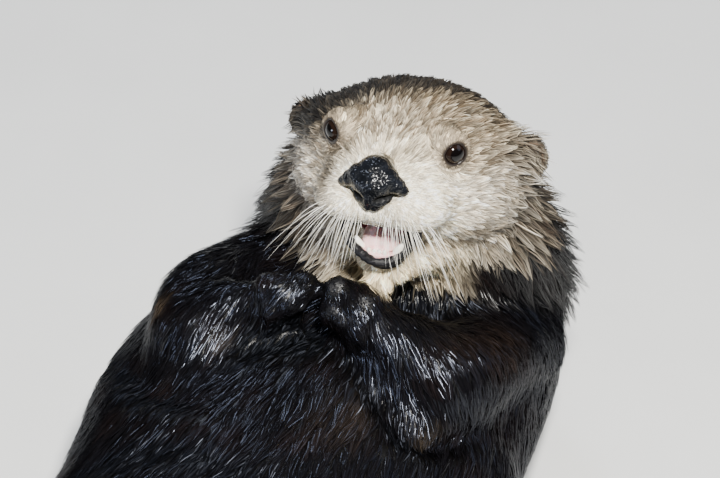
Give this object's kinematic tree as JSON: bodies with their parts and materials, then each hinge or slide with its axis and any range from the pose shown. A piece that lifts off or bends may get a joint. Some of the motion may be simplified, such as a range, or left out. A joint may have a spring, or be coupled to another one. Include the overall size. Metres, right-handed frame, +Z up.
{
  "type": "sea otter",
  "caption": "Life-size sea otter resting on its back, head raised and mouth open, forepaws held together on the chest, webbed hind flippers lifted beside a thick tail.",
  "frame": {"origin": "on the floor under the middle of the whole body's bounding box", "axes": "+Z up, out of the belly; +Y along the body towards the head; -Y towards the tail; +X towards the animal's own left side"},
  "size_m": [0.4832, 1.0012, 0.3069],
  "materials": {
    "pale_fur": "damp guard hairs, pale cream to grey brown",
    "dark_fur": "wet guard hairs, black brown with a gloss",
    "ear_skin": "short thin hair over skin",
    "eye": "wet and glossy",
    "nose_leather": "wet pebbled leather",
    "tongue": "wet",
    "tooth": "glossy",
    "flipper_skin": "short sparse hair over wet leathery skin"
  },
  "bodies": {
    "root": {"head": "pale_fur", "neck": "pale_fur", "ear_left": "ear_skin", "ear_right": "ear_skin", "eye_left": "eye", "eye_right": "eye", "nose": "nose_leather", "tongue": "tongue", "teeth_lower": "tooth", "chest": "dark_fur", "belly": "dark_fur", "tail": "dark_fur", "upper_arm_left": "dark_fur", "forearm_left": "dark_fur", "paw_left": "dark_fur", "leg_left": "dark_fur", "flipper_left": "flipper_skin", "upper_arm_right": "dark_fur", "forearm_right": "dark_fur", "paw_right": "dark_fur", "leg_right": "dark_fur", "flipper_right": "flipper_skin"}
  },
  "joints": []
}
